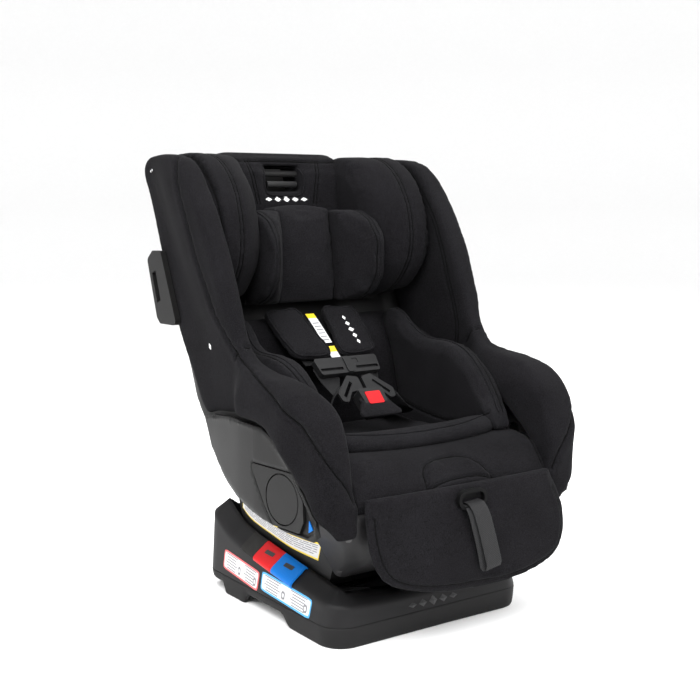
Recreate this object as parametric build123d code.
from build123d import *
import os
from math import atan2, cos, degrees, radians, sin, tan

# Convertible child car seat: base, reclining shell, sliding headrest, harness and covers.
#
# Millimetres. +Z up, the child faces -Y, +X is the child's left-hand side seen from the front.
# The origin lies on the floor under the middle of the whole seat.

os.makedirs("parts", exist_ok=True)

# ---- driving dimensions ---------------------------------------------------------------------
RECLINE_PIVOT = (-46, 450)      # (y, z) of the virtual axis that the seat swings about
SKIRT_RADIUS = 392              # outer radius of the lower shell about that axis
GLIDER_THICKNESS = 3.6
RAIL_GAP = 0.4
RAIL_THICKNESS = 8
RECLINE_POSITIONS = 10
RECLINE_STEP = 2.2              # degrees between two positions

WALL = 4                        # plastic wall of the seat shell
FABRIC = 5.5                    # cover and foam outside the shell wall
CLEAR = 0.3                     # gap left between neighbouring pieces
FRAME_ROOM = 9.8                # shell wall and steel side plate, from the shell's outside
BACK_SLOPE = 25.6               # degrees that the backrest leans from upright

BASE_HALF_WIDTH = 161
BASE_FRONT = -180
BASE_REAR = 158
BASE_SPLIT = 28                 # height of the line between skirt and housing
BASE_WALL = 3
BASE_DRAFT = 6                  # degrees
SKIRT_DRAFT = 5                 # degrees, inwards below the split
SCREW_PLACES = [(x, y) for x in (-149.5, 149.5) for y in (-140, -95, 40, 100)]
OPENING_HALF_WIDTH = 131        # hole in the base that the lower shell swings in
SHELL_LOWER_HALF_WIDTH = 127

FLAP_FRONT = -258
SEAT_FLOOR = 150                # underside of the seat shell's floor
WING_INNER = 186                # inner face of the upper side wings
WING_FRONT_HALF = 221.5         # half width over the wings at their front edges
WING_FRONT_LINE = [(-16, 418), (108, 614)]      # (y, z) ends of the wing's front edge

CUP_HOLE = 32.5                 # radius of the drink ring's hole
CUP_DISC = 31
CUP_CENTRE = (-146, 198)        # (y, z)
CUP_FLAP = 3.4                  # thickness of the ring and of the disc
CUP_GAP = 1.9                   # room round the ring in the panel's opening
ROD_RADIUS = 3
ROD_SET_BACK = 12               # from the headrest cushion's back face to the rod's axis


# ---- helpers --------------------------------------------------------------------------------
def slab(outline, x_low, x_high, corner=0):
    """Extrude a side outline of (y, z) points from x_low to x_high."""
    face = make_face(Polyline(*outline, close=True))
    if corner:
        face = fillet(face.vertices(), corner)
    return extrude(Plane.YZ.offset(x_low) * face, x_high - x_low)


def block(outline, z_low, z_high, corner=0):
    """Extrude a plan outline of (x, y) points from z_low to z_high."""
    face = make_face(Polyline(*outline, close=True))
    if corner:
        face = fillet(face.vertices(), corner)
    return extrude(Plane.XY.offset(z_low) * face, z_high - z_low)


def front_slab(outline, y_low, y_high, corner=0):
    """Extrude a front outline of (x, z) points from y_low to y_high."""
    face = make_face(Polyline(*outline, close=True))
    if corner:
        face = fillet(face.vertices(), corner)
    return extrude(Plane.XZ.offset(-y_low) * face, y_low - y_high)


def box(x, y, z):
    """Box from three (low, high) pairs."""
    size = [high - low for low, high in (x, y, z)]
    middle = [(low + high) / 2 for low, high in (x, y, z)]
    return Pos(*middle) * Box(*size)


def tilted(y, z, slope):
    """Plane through (0, y, z) whose y axis climbs backwards at this slope from level."""
    rise = (0, cos(radians(slope)), sin(radians(slope)))
    face = (0, -rise[2], rise[1])
    return Plane(origin=(0, y, z), x_dir=(1, 0, 0), z_dir=face)


def recline_cylinder(radius, half_width):
    """Cylinder about the recline axis."""
    turned = Rot(0, 90, 0) * Cylinder(radius, 2 * half_width)
    return Pos(0, *RECLINE_PIVOT) * turned


def rod(start, end, radius):
    """Round bar between two points."""
    way = Vector(*end) - Vector(*start)
    plane = Plane(origin=start, z_dir=way)
    return extrude(plane * Circle(radius), way.length)


def on_right(solid):
    """The same piece on the other side of the seat."""
    return mirror(solid, about=Plane.YZ)


def pair(solid):
    """Two identical pieces, one on each side, as one group."""
    return Compound([solid, on_right(solid)])


# ---- base -----------------------------------------------------------------------------------
DECK_LINE = [(163, 96), (155, 122), (146, 133), (135, 137), (127, 134), (114, 117), (55, 106), (-15, 100),
             (-65, 97), (-112, 82), (-150, 68), (-190, 66)]


def base_plan(inset):
    """Rounded plan outline of the base at the split line."""
    half = BASE_HALF_WIDTH - inset
    front = BASE_FRONT + inset
    rear = BASE_REAR - inset
    face = make_face(Polyline((-half, front), (half, front), (half, rear), (-half, rear), close=True))
    return fillet(face.vertices(), 30 - inset)


def housing_block(inset):
    """Outer form of the housing, or its hollow when inset is the wall thickness."""
    form = extrude(Plane.XY.offset(BASE_SPLIT) * base_plan(inset), 112, taper=BASE_DRAFT)
    side = [(y, z - inset) for y, z in DECK_LINE] + [(-190, 0), (163, 0)]
    form = form & slab(side, -170, 170)
    deck = [(134, 104), (155, 83), (179, 83), (179, 150), (134, 150)]
    cut = front_slab([(x - 0.7 * inset, z - 0.7 * inset) for x, z in deck], -200, 84)
    dip = [(-122, 56 - inset), (-48, 44 - inset), (48, 44 - inset), (122, 56 - inset), (150, 70), (150, 90),
           (-150, 90), (-150, 70)]
    return form - cut - on_right(cut) - front_slab(dip, -200, -140)


def base_housing():
    """Upper casing of the base, open in the middle for the swinging seat."""
    solid = housing_block(0)
    hollow = housing_block(BASE_WALL) - box((-134, 134), (-156, 160), (60, 150))
    opening = box((-OPENING_HALF_WIDTH, OPENING_HALF_WIDTH), (-153, 133), (0, 150))
    for x, y in SCREW_PLACES:
        hollow = hollow - (Pos(x, y, BASE_SPLIT + 10) * Cylinder(9, 30))
    casing = solid - hollow - opening
    for x, y in SCREW_PLACES:
        casing = casing - (Pos(x, y, BASE_SPLIT + 8) * Cylinder(1.8, 24))
    return casing



def base_skirt():
    """Lower casing of the base, with a grip arch in each flank."""
    outer = extrude(Plane.XY.offset(BASE_SPLIT) * base_plan(0), -BASE_SPLIT, taper=SKIRT_DRAFT)
    inner = extrude(Plane.XY.offset(BASE_SPLIT) * base_plan(BASE_WALL), -BASE_SPLIT, taper=SKIRT_DRAFT)
    arch = slab([(-72, -2), (-52, 15), (36, 17), (50, -2)], -170, 170)
    rear_arch = slab([(98, -2), (104, 13), (164, 15), (164, -2)], -170, 170)
    return outer - inner - arch - rear_arch


def base_floor_plate():
    """Flat steel floor of the base, with a hole in each screw place."""
    plate = Box(311, 318, 3)
    plate = Pos(0, (BASE_FRONT + BASE_REAR) / 2, 20) * fillet(plate.edges().filter_by(Axis.Z), 26)
    for x, y in SCREW_PLACES:
        plate = plate - (Pos(x, y, 20) * Cylinder(2.1, 10))
    return plate


def base_feet():
    """Four rubber feet under the skirt's floor line."""
    foot = Box(44, 16, 18.5)
    foot = fillet(foot.edges().filter_by(Axis.Z), 6)
    places = [(x, y) for x in (-112, 112) for y in (-150, 84)]
    return Compound([Pos(x, y, 9.25) * foot for x, y in places])


def base_screws():
    """Pan-head screws from the floor plate into the housing bosses."""
    shank = Pos(0, 0, 10.5) * Cylinder(1.75, 20)
    head = Pos(0, 0, -1) * Cylinder(4, 3)
    return Compound([Pos(x, y, 18) * (shank + head) for x, y in SCREW_PLACES])


def recline_rail(x_middle):
    """Curved steel rail, notched once for every recline position."""
    inner = SKIRT_RADIUS + GLIDER_THICKNESS + RAIL_GAP
    outer = inner + RAIL_THICKNESS
    ring = recline_cylinder(outer, 6) - recline_cylinder(inner, 7)
    ring = ring & slab([(-200, 0), (-200, 100), (106, 100), (106, 0)], -7, 7)
    web = box((-2, 2), (-140, 96), (21.5, 90)) - recline_cylinder(outer - 1, 7)
    web = web & recline_cylinder(outer + 40, 7)
    rail = (ring + web) & box((-7, 7), (-150, 112), (21.5, 90))
    for step in range(RECLINE_POSITIONS):
        angle = radians(-17 + step * RECLINE_STEP)
        y = RECLINE_PIVOT[0] + inner * sin(angle)
        z = RECLINE_PIVOT[1] - inner * cos(angle)
        rail = rail - (Pos(0, y, z) * Rot(0, 90, 0) * Cylinder(4, 14))
    return Pos(x_middle, 0, 0) * rail


def marker_band(y_low, y_high, drop, thickness=6):
    """Cap that lies over the base's sloping shoulder, on the left side."""
    lower = 83 - drop
    edge = BASE_HALF_WIDTH - (83 - BASE_SPLIT) * tan(radians(BASE_DRAFT))
    wall = edge + drop * tan(radians(BASE_DRAFT))
    outline = [(-edge + 13.7, 96.8), (-edge - 0.1, 83), (-wall - 0.3, lower), (-wall - thickness, lower),
               (-edge - thickness, 86), (-edge - 1.8, 91.5), (-edge + 9.7, 101.5)]
    cap = front_slab(outline, y_low, y_high)
    return cap


def marker_with_window(y_low, y_high):
    """Coloured cap with a reading window sunk in its top."""
    cap = marker_band(y_low, y_high, 9)
    middle = (y_low + y_high) / 2
    window = Pos(-153.3, middle, 98) * Rot(0, -43, 0) * Box(9, 24, 4)
    return cap - window


# ---- seat shell -----------------------------------------------------------------------------
# (z, half width, rear y, rear corner radius) of plan sections, from the floor to the top
SHELL_SECTIONS = [(150, 168, 118, 40), (188, 199, 122, 70), (262, 200, 130, 58), (327, 200, 144, 42),
                  (391, 200, 170, 32), (486, 200, 215, 28), (590, 202, 262, 26), (632, 202, 281, 26)]

SHELL_SIDE = [(148, 610), (106, 598), (66, 550), (30, 490), (-2, 418), (-30, 360), (-80, 326), (-140, 314),
              (-172, 296), (-188, 268), (-186, 235), (-172, 190), (-160, 150), (300, 150), (300, 610)]


def shell_body(inset, z_low=150):
    """Lofted outer form of the shell, moved inwards by inset (outwards when negative)."""
    wires = []
    for z, half, rear, corner in SHELL_SECTIONS:
        level = z + max(0, z_low - 150) if z == 150 else z
        half = half - inset
        rear = rear - inset
        face = make_face(Polyline((-half, -260), (half, -260), (half, rear), (-half, rear), close=True))
        rear_corners = face.vertices().group_by(Axis.Y)[-1]
        wires.append(Plane.XY.offset(level) * fillet(rear_corners, corner - inset))
    return loft(wires, ruled=True)


def seat_shell():
    """Bucket of the seat in one plastic moulding."""
    shell = shell_body(0) & slab(SHELL_SIDE, -230, 230)
    hollow = shell_body(WALL, z_low=SEAT_FLOOR + WALL)
    shell = shell - hollow
    return shell - box((-42, 42), (100, 180), (205, 275))


def lower_shell():
    """Pan under the seat that swings inside the base."""
    side = [(117, 149.9), (110, 125), (95, 95), (62, 40), (-108, 40), (-126, 84), (-140, 110), (-150, 128),
            (-150, 149.9)]
    inner = [(114, 160), (107, 126), (92, 97), (58, 30), (-104, 30), (-123, 84), (-137, 112), (-147, 129),
             (-147, 160)]
    half = SHELL_LOWER_HALF_WIDTH
    form = slab(side, -half, half) & recline_cylinder(SKIRT_RADIUS, 200)
    hollow = slab(inner, -half + 3, half - 3) & recline_cylinder(SKIRT_RADIUS - 3, 200)
    return form - hollow


def front_cover():
    """Fascia between the lower shell and the leg flap, with a hand hole for the recline grip."""
    outline = [(-150.3, 149.7), (-176, 149.7), (-174, 122), (-162, 96), (-150.3, 92)]
    cover = slab(outline, -136, 136) - slab([(-150, 145), (-171, 145), (-169, 123), (-160, 101), (-150, 97)],
                                            -132, 132)
    return cover - box((-46, 46), (-180, -150), (100, 132))


def recline_glider(x_middle):
    """Curved nylon slide under the lower shell."""
    outer = SKIRT_RADIUS + GLIDER_THICKNESS
    ring = recline_cylinder(outer, 6) - recline_cylinder(SKIRT_RADIUS + 0.02, 7)
    ring = ring & box((-7, 7), (-98, 52), (40, 100))
    return Pos(x_middle, 0, 0) * ring


PANEL_EDGE = [(66, 270), (36, 276), (-30, 283), (-104, 281), (-126, 272), (-169, 235), (-211, 182), (-216, 166),
              (-205, 157), (-150, 158), (-100, 166), (-46, 180), (-6, 197), (36, 226)]
# (x, y) of the panel's outer face, left side, seen from above; the last stretch is flat
PANEL_PLAN = [(-204.4, 70), (-214, 10), (-220, -50), (-220, -88), (-206.5, -218)]
PANEL_TURN = degrees(atan2(13.5, 130))


def side_panel_blank():
    """Left outer panel before its openings are cut."""
    outer = Polyline(*PANEL_PLAN)
    inner = Polyline(*[(x + 3.5, y) for x, y in PANEL_PLAN])
    ends = [Line(outer @ 0, inner @ 0), Line(outer @ 1, inner @ 1)]
    wall = extrude(Plane.XY.offset(140) * make_face([outer, inner, *ends]), 160)
    return wall & slab(PANEL_EDGE, -240, -190)


def cup_plane():
    """Flat stretch of the left panel: local x runs forwards, local y runs up, z points outwards."""
    y, z = CUP_CENTRE
    x = -220 + (-88 - y) * 13.5 / 130
    turn = radians(PANEL_TURN)
    return Plane(origin=(x, y, z), x_dir=(sin(turn), -cos(turn), 0), z_dir=(-cos(turn), -sin(turn), 0))


def cup_outline(points, grow=0):
    """Rounded outline in the drink holder's plane."""
    face = make_face(Polyline(*points, close=True))
    face = fillet(face.vertices(), 3)
    return offset(face, amount=grow) if grow else face


TEARDROP = [(-60, 35.5), (18, 35.5), (59, -17), (60, -28), (50, -35.5), (-18, -35.5), (-36, -12), (-61, 29)]
RING_FLAP = TEARDROP[:2] + [(40.5, 5.6), (42, -20), (34, -35.5)] + TEARDROP[5:]


def side_panel():
    """Left outer panel with the drink holder's opening and its hinge lugs."""
    plane = cup_plane()
    panel = side_panel_blank()
    opening = extrude(plane.offset(-8) * cup_outline(TEARDROP, CUP_GAP), 16)
    tray = extrude(plane.offset(-6.4) * cup_outline(TEARDROP, CUP_GAP + 1.8), 4)
    tray = tray - extrude(plane.offset(-4.4) * cup_outline(TEARDROP, CUP_GAP), 8)
    return panel - opening + (tray & slab(PANEL_EDGE, -240, -190))


def cup_ring():
    """Left drink ring: teardrop flap with a round hole, hinged along its top edge."""
    plane = cup_plane()
    flap = extrude(plane.offset(-CUP_FLAP) * cup_outline(RING_FLAP), CUP_FLAP)
    hole = extrude(plane.offset(-6) * Circle(CUP_HOLE), 12)
    return flap - hole


def cup_floor():
    """Left drink floor: a disc inside the ring, hinged at its bottom."""
    plane = cup_plane()
    disc = extrude(plane.offset(-CUP_FLAP) * Circle(CUP_DISC), CUP_FLAP)
    return fillet(disc.edges(), 0.8)


def belt_guide():
    """Blue mark of the lap belt path in the panel's recess, on the left."""
    mark = make_face(Polyline((49, -17), (56, -27), (48, -32), close=True))
    return extrude(cup_plane().offset(-4.3) * mark, 1.2)


def frame_side():
    """Left steel side plate inside the shell wall."""
    outline = [(-150, 214), (-160, 262), (-60, 306), (20, 340), (84, 440), (140, 560), (168, 560), (120, 420),
               (60, 290), (20, 214)]
    plate = slab(outline, -194.9, -191.9, corner=8)
    for y, z in ((-120, 235), (-40, 250), (40, 330), (100, 440)):
        plate = plate - (Pos(-194, y, z) * Rot(0, 90, 0) * Cylinder(11, 10))
    return plate


def frame_cross_tubes():
    """Two steel tubes across the lower shell."""
    tubes = []
    for y, z in ((-118, 132), (84, 134)):
        tube = rod((-123.9, y, z), (123.9, y, z), 8) - rod((-130, y, z), (130, y, z), 6.5)
        tubes.append(tube)
    return Compound(tubes)


def side_pod():
    """Left side-impact pod behind the wing, with its finger slot."""
    outline = [(128, 387), (174, 489), (200, 489), (217, 476), (189, 394), (179, 386)]
    pod = slab(outline, -214, -166, corner=7)
    pod = pod - shell_body(-FABRIC - CLEAR)
    slot = Pos(-214, 189, 438) * Rot(-BACK_SLOPE + 6, 0, 0) * Box(24, 12, 44)
    return pod - slot


# ---- soft covers of the shell ---------------------------------------------------------------
WING_SIDE = [(196, 628), (162, 627), (118, 622), (92, 608), (52, 559), (16, 495), (-16, 418), (-24.5, 384),
             (-24.5, 286.5), (36, 279.5), (68, 274), (104, 327), (143, 383), (192, 486), (222, 560), (244, 600),
             (226, 622)]
THIGH_SIDE = [(-25, 366), (-75, 350), (-135, 344), (-176, 330), (-206, 305), (-220, 273), (-224, 241),
              (-226, 205), (-227, 160), (-220, 157), (-214.5, 184.5), (-173, 238.5), (-129, 276), (-104, 284), (-30, 286),
              (-25, 286)]
THIGH_INNER = THIGH_SIDE[:8] + [(-216.5, 170), (-196, 159), (40, 159), (62, 230), (36, 272), (-25, 280)]
THIGH_PLAN = [(-150, 90), (-200.3, 90), (-200.3, -24.8), (-214.5, -25), (-221, -60), (-225, -100), (-225, -150),
              (-220, -190), (-206, -212), (-190, -222), (-150, -228)]


def shell_wall_space():
    """Space that the shell's wall, the steel side plate and their clearance take up."""
    grown = [(y - 0.6, z) for y, z in SHELL_SIDE[:6]] + [(y, z + 0.6) for y, z in SHELL_SIDE[6:8]]
    grown = grown + [(y - 0.6, z) for y, z in SHELL_SIDE[8:12]] + [(-170, 120), (300, 120), (300, 611)]
    wall = shell_body(-CLEAR) - shell_body(FRAME_ROOM, z_low=SEAT_FLOOR + WALL + CLEAR)
    return wall & slab(grown, -240, 0)


def wing_flare():
    """Wedge that thickens the wing outwards towards its sloping front edge."""
    (low_y, low_z), (high_y, high_z) = WING_FRONT_LINE
    lean = atan2(high_y - low_y, high_z - low_z)
    across = Plane(origin=(0, low_y, low_z), x_dir=(1, 0, 0), z_dir=(0, sin(lean), cos(lean)))
    section = [(-203, 96), (-205.3, 90), (-216, 40), (-WING_FRONT_HALF, 10), (-WING_FRONT_HALF, -60), (-203, -60)]
    wedge = extrude(across.offset(-200) * make_face(Polyline(*section, close=True)), 500)
    return wedge & slab(WING_SIDE, -230, -200)


def wing_cover():
    """Left upper wing: padded fabric round the shell wall's edge."""
    pad = shell_body(-FABRIC) & slab(WING_SIDE, -240, -WING_INNER)
    return pad + wing_flare() - shell_wall_space()


def thigh_bolster():
    """Left thigh bolster, inside and outside the shell wall."""
    outside = slab(THIGH_SIDE, -226, -200.3)
    inside = slab(THIGH_INNER, -200.3, -165)
    return ((outside + inside) & block(THIGH_PLAN, 100, 400)) - shell_wall_space()


def back_cushion():
    """Backrest pad between the wings."""
    outline = [(78, 215), (80, 262), (96, 327), (106, 362), (124, 386), (150, 392), (151, 388), (126, 327),
               (110, 262), (106, 215)]
    return slab(outline, -164, 164)


def seat_cushion():
    """Seat pad, notched in front for the harness adjuster and slotted for the crotch strap."""
    outline = [(76, 156), (76, 190), (0, 205), (-60, 222), (-100, 234), (-150, 241), (-185, 236), (-208, 225),
               (-224, 211), (-230.4, 199), (-227, 178), (-180, 172), (-168, 156)]
    pad = slab(outline, -164.5, 164.5, corner=3)
    return pad - box((-26, 26), (-240, -176), (160, 201)) - box((-22, 22), (-64, -54), (150, 230))


def flap_outline():
    """Front outline of the leg flap."""
    half = [(150, 206), (160, 185), (165, 155), (158, 128), (142, 106), (120, 88), (90, 75), (45, 67)]
    return half + [(-x, z) for x, z in reversed(half)]


def leg_flap():
    """Padded flap that hangs from the front of the seat, with a slot for the adjuster."""
    side = [(-231, 206), (-242, 206), (-246, 190), (-250, 150), (FLAP_FRONT, 100), (FLAP_FRONT, 60),
            (FLAP_FRONT + 11, 60), (-247, 100), (-239, 150), (-234, 180)]
    flap = front_slab(flap_outline(), -275, -220) & slab(side, -200, 200)
    return flap - front_slab([(-20, 180), (20, 180), (20, 199), (-20, 199)], -280, -210, corner=8)


def insert_seat():
    """Bottom of the newborn insert, with a rolled front edge."""
    outline = [(72, 198), (70, 238), (20, 236), (-40, 236), (-76, 238), (-98, 247), (-126, 262), (-146, 267),
               (-160, 262), (-166, 252), (-164, 244), (-150, 243.3), (-100, 236.3), (-60, 224.5), (0, 207.5)]
    pad = slab(outline, -127.5, 127.5, corner=3)
    return pad - box((-22, 22), (-64, -54), (190, 260))


def insert_side():
    """Left side bolster of the newborn insert."""
    outline = [(77, 205), (77, 262), (90, 320), (112, 384), (96, 398), (70, 394), (44, 372), (14, 361),
               (-30, 360), (-66, 352), (-104, 328), (-138, 290), (-160, 266), (-163, 245), (-150, 243.3),
               (-100, 236.3), (-60, 224.5), (0, 207.5)]
    return slab(outline, -162, -128, corner=2)


def crotch_pad():
    """Fabric pad on the crotch strap, under the buckle."""
    plane = tilted(-64, 276, 40)
    face = make_face(Polyline((-18, 0), (18, 0), (36, -40), (-36, -40), close=True))
    return extrude(plane.offset(-7) * fillet(face.vertices(), 3), 6)


# ---- harness --------------------------------------------------------------------------------
BUCKLE_SLOPE = 46
BUCKLE = tilted(-48, 288, BUCKLE_SLOPE)
CLIP = tilted(17.5, 329, BUCKLE_SLOPE)
PADS = tilted(41, 342, 39.5)


def buckle_housing():
    """Crotch buckle body with the button's well."""
    face = fillet(make_face(Polyline((-21, 20), (21, 20), (17, -20), (-17, -20), close=True)).vertices(), 4)
    body = extrude(BUCKLE.offset(-20) * face, 20)
    well = extrude(BUCKLE.offset(-9) * (Pos(0, 3) * Rectangle(25.6, 20.6)), 12)
    return body - well


def buckle_button():
    """Red release button."""
    face = fillet((Pos(0, 3) * Rectangle(25, 20)).vertices(), 2)
    return extrude(BUCKLE.offset(-4.8) * face, 5.6)


def buckle_tongue():
    """Left metal tongue with the loop that carries the strap."""
    outer = make_face(Polyline((-3, 46), (-20, 50), (-47, 22), (-45, 8), (-36, 6), (-24, 22), (-3, 24), close=True))
    outer = fillet(outer.vertices(), 4)
    plate = extrude(BUCKLE.offset(-13) * outer, 3.5)
    slot = make_face(Polyline((-20, 40), (-40, 17), (-37, 13), (-17, 36), close=True))
    return plate - extrude(BUCKLE.offset(-16) * slot, 10)


def harness_straps():
    """Left and right lower webbing, from the shoulder pad to the tongue and on to the hip."""
    upper = make_face(Polyline((-48, -2), (-20, -2), (-20, -16), (-32, -44), (-38, -44), (-50, -24), close=True))
    strap = extrude(CLIP.offset(-11.8) * upper, 1.5)
    hip = slab([(-32, 268), (-8, 262), (30, 248), (66, 244), (66, 246), (30, 250), (-8, 264), (-31, 270)],
               -108, -74)
    return Compound([strap, on_right(strap), hip, on_right(hip)])


def chest_clip():
    """Two-part chest clip: main body with the webbing slots and a centre latch rib."""
    face = fillet(make_face(Polyline((-54, 14), (54, 14), (50, -14), (-50, -14), close=True)).vertices(), 4)
    body = extrude(CLIP.offset(-9) * face, 9)
    slots = [(-30, -6, 38, 5), (30, -6, 38, 5)]
    for x, y, width, height in slots:
        body = body - extrude(CLIP.offset(-4) * (Pos(x, y) * Rectangle(width, height)), 8)
    rib = extrude(CLIP * fillet((Rectangle(11, 27)).vertices(), 3), 1.6)
    latch = extrude(CLIP.offset(-1) * (Pos(14, 6) * Rectangle(9, 8)), 4)
    return body + rib - latch


def shoulder_pad():
    """Left shoulder pad."""
    face = make_face(Polyline((-9, 2), (-66, 2), (-76, 22), (-80, 90), (-74, 98), (-21, 98), close=True))
    return extrude(PADS.offset(-13) * fillet(face.vertices(), 5), 12)


def harness_yoke():
    """Steel plate behind the backrest that joins both shoulder straps to the adjuster strap."""
    plate = front_slab([(-30, 228), (30, 228), (36, 258), (-36, 258)], 116, 118.5, corner=4)
    for x in (-22, 22):
        plate = plate - (Pos(x, 117, 246) * Box(20, 10, 5))
    return plate - (Pos(0, 117, 235) * Box(30, 10, 5))


def adjuster_housing():
    """Cam housing of the harness adjuster, open in front for the button and the strap."""
    outer = box((-20, 20), (-230.5, -180), (177, 198))
    return outer - box((-15, 15), (-240, -190), (187, 196)) - box((-14, 14), (-240, -170), (181.5, 185))


def adjuster_bezel():
    """Oval rim round the adjuster opening."""
    rim = extrude(Plane.XZ.offset(248) * Pos(0, 190) * SlotOverall(46, 25), 7)
    hole = extrude(Plane.XZ.offset(220) * Pos(0, 190) * SlotOverall(37, 17), 60)
    return rim - hole


def adjuster_button():
    """Push button inside the adjuster."""
    plane = Plane.XZ.offset(226) * Pos(0, 191.5)
    return extrude(plane * fillet(Rectangle(28, 8).vertices(), 2), 20)


def adjuster_strap():
    """Loop of webbing that hangs from the adjuster."""
    outline = [(-232, 184.6), (-257, 184.2), (-263, 176), (-266, 130), (-270, 97), (-267, 90), (-263, 97),
               (-262, 130), (-260, 174), (-256, 182.4), (-232, 182.6)]
    return slab(outline, -12.5, 12.5)


# ---- headrest -------------------------------------------------------------------------------
def rear_line(z):
    """Back face of the headrest cushion."""
    return 150 + tan(radians(BACK_SLOPE)) * (z - 408)


def headrest_frame():
    """Plastic back plate of the headrest with the fixed upper grip bar."""
    low, high = 408, 618
    outline = [(rear_line(low) + 0.3, low), (rear_line(low) + 6.3, low), (rear_line(high) + 6.3, high),
               (rear_line(high) + 0.3, high)]
    plate = slab(outline, -150, 150) - box((-38, 38), (150, 300), (574, 608))
    bar = rod((-38.5, 203, 600), (38.5, 203, 600), 5)
    cheek = slab([(196, 594), (242, 594), (247, 606), (204, 606)], -42, -38.2)
    frame = plate + bar + cheek + on_right(cheek)
    for z in (424, 604):
        y = rear_line(z)
        bracket = slab([(y + 5, z), (y + 15, z), (y + 19, z + 8), (y + 9, z + 8)], -75, -65)
        frame = frame + bracket + on_right(bracket)
    return frame - headrest_rod() - on_right(headrest_rod())


def headrest_rod(radius=ROD_RADIUS, low=424, high=610):
    """Left guide rod of the headrest, between two heights."""
    return rod((-70, rear_line(low) + ROD_SET_BACK, low), (-70, rear_line(high) + ROD_SET_BACK, high), radius)


def rod_guide():
    """Left nylon block on the shell that the guide rod runs through."""
    front, rear = ROD_SET_BACK - 5, ROD_SET_BACK + 8
    outline = [(rear_line(572) + front, 572), (rear_line(572) + rear, 572), (rear_line(592) + rear, 592),
               (rear_line(592) + front, 592)]
    return slab(outline, -77, -63) - headrest_rod(ROD_RADIUS + 0.06, 540, 630)


def headrest_cushion():
    """Middle of the headrest, with the slot that shows both grip bars."""
    outline = [(138, 408), (165, 480), (178, 552), (183, 600), (194, 620), (210, 626), (240, 624),
               (rear_line(618), 618), (rear_line(408), 408)]
    pad = slab(outline, -99.5, 99.5)
    return pad - front_slab([(-43, 573), (43, 573), (43, 612), (-43, 612)], 150, 290, corner=5)


def headrest_wing():
    """Left headrest wing."""
    outline = [(160, 626), (124, 618), (90, 594), (66, 556), (57, 515), (60, 480), (78, 448), (106, 424),
               (132, 420), (rear_line(430), 430), (rear_line(600), 600), (232, 618)]
    return slab(outline, -183, -100, corner=4)


def head_pillow():
    """Middle panel of the infant head pillow."""
    outline = [(124, 409), (121, 440), (127, 500), (137, 549), (175, 549), (162, 480), (136, 411)]
    return slab(outline, -49.5, 49.5, corner=1)


def pillow_wing():
    """Left lobe of the infant head pillow."""
    side = [(150, 547), (118, 545), (84, 532), (62, 508), (56, 484), (62, 450), (84, 424), (118, 410), (134, 410)]
    plan = [(-50, 120), (-50, 150), (-99.5, 150), (-99.5, 68), (-94, 56), (-86, 60)]
    return slab(side, -110, -40, corner=3) & block(plan, 400, 560, corner=2)


def headrest_grip():
    """Lower bar that is squeezed up to free the headrest."""
    bar = rod((-37, 196, 584), (37, 196, 584), 5)
    tongue = slab([(197, 581), (197, 587), (228, 587), (228, 581)], -10, 10)
    return bar + tongue


def recline_handle():
    """Pull grip of the recline lock, behind the fascia's hand hole."""
    plane = Plane.YZ.offset(-38)
    grip = extrude(plane * Pos(-158, 116) * fillet(Rectangle(9, 20).vertices(), 3), 76)
    arm = box((-30, -22), (-154, -146.5), (112, 120))
    return grip + arm + on_right(arm)


def lock_bar():
    """Steel bar that drops into the rail notches."""
    angle = radians(-6)
    radius = SKIRT_RADIUS - 20
    y = RECLINE_PIVOT[0] + radius * sin(angle)
    z = RECLINE_PIVOT[1] - radius * cos(angle)
    return rod((-110, y, z), (110, y, z), 4)


# ---- output ---------------------------------------------------------------------------------
def both_sides(name, solid):
    """Name a left piece and its mirror image."""
    return {name + "_left": solid, name + "_right": on_right(solid)}


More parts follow.
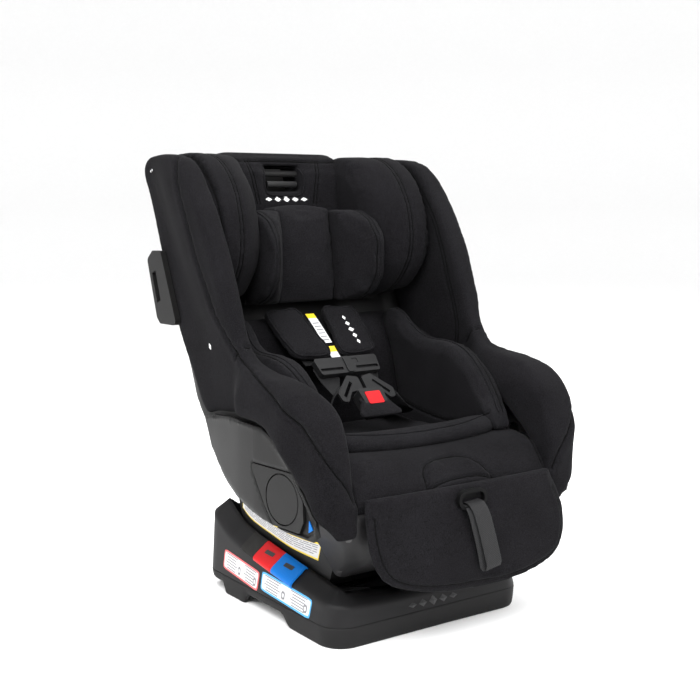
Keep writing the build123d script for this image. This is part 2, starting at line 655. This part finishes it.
PARTS = {
    "base_housing": base_housing(),
    "base_skirt": base_skirt(),
    "base_floor_plate": base_floor_plate(),
    "base_feet": base_feet(),
    "base_screws": base_screws(),
    "recline_rails": Compound([recline_rail(x) for x in (-90, 90)]),
    **both_sides("anchor_cover", marker_band(18.3, 60, 10)),
    "rear_facing_markers": pair(marker_with_window(-26, 18)),
    "forward_facing_markers": pair(marker_with_window(-78, -26.3)),
    "seat_shell": seat_shell(),
    "lower_shell": lower_shell(),
    "front_cover": front_cover(),
    "recline_gliders": Compound([recline_glider(x) for x in (-90, 90)]),
    **both_sides("side_panel", side_panel()),
    **both_sides("cup_ring", cup_ring()),
    **both_sides("cup_floor", cup_floor()),
    "belt_guides": pair(belt_guide()),
    "frame_sides": pair(frame_side()),
    "frame_cross_tubes": frame_cross_tubes(),
    **both_sides("side_pod", side_pod()),
    **both_sides("wing_cover", wing_cover()),
    **both_sides("thigh_bolster", thigh_bolster()),
    "back_cushion": back_cushion(),
    "seat_cushion": seat_cushion(),
    "leg_flap": leg_flap(),
    "insert_seat": insert_seat(),
    **both_sides("insert_side", insert_side()),
    "crotch_pad": crotch_pad(),
    "buckle_housing": buckle_housing(),
    "buckle_button": buckle_button(),
    "buckle_tongues": pair(buckle_tongue()),
    "harness_straps": harness_straps(),
    "chest_clip": chest_clip(),
    **both_sides("shoulder_pad", shoulder_pad()),
    "harness_yoke": harness_yoke(),
    "adjuster_housing": adjuster_housing(),
    "adjuster_bezel": adjuster_bezel(),
    "adjuster_button": adjuster_button(),
    "adjuster_strap": adjuster_strap(),
    "headrest_frame": headrest_frame(),
    "headrest_rods": pair(headrest_rod()),
    "rod_guides": pair(rod_guide()),
    "headrest_cushion": headrest_cushion(),
    **both_sides("headrest_wing", headrest_wing()),
    "head_pillow": head_pillow(),
    **both_sides("pillow_wing", pillow_wing()),
    "headrest_grip": headrest_grip(),
    "recline_handle": recline_handle(),
    "lock_bar": lock_bar(),
}

for name, solid in PARTS.items():
    export_step(solid, f"parts/{name}.step")
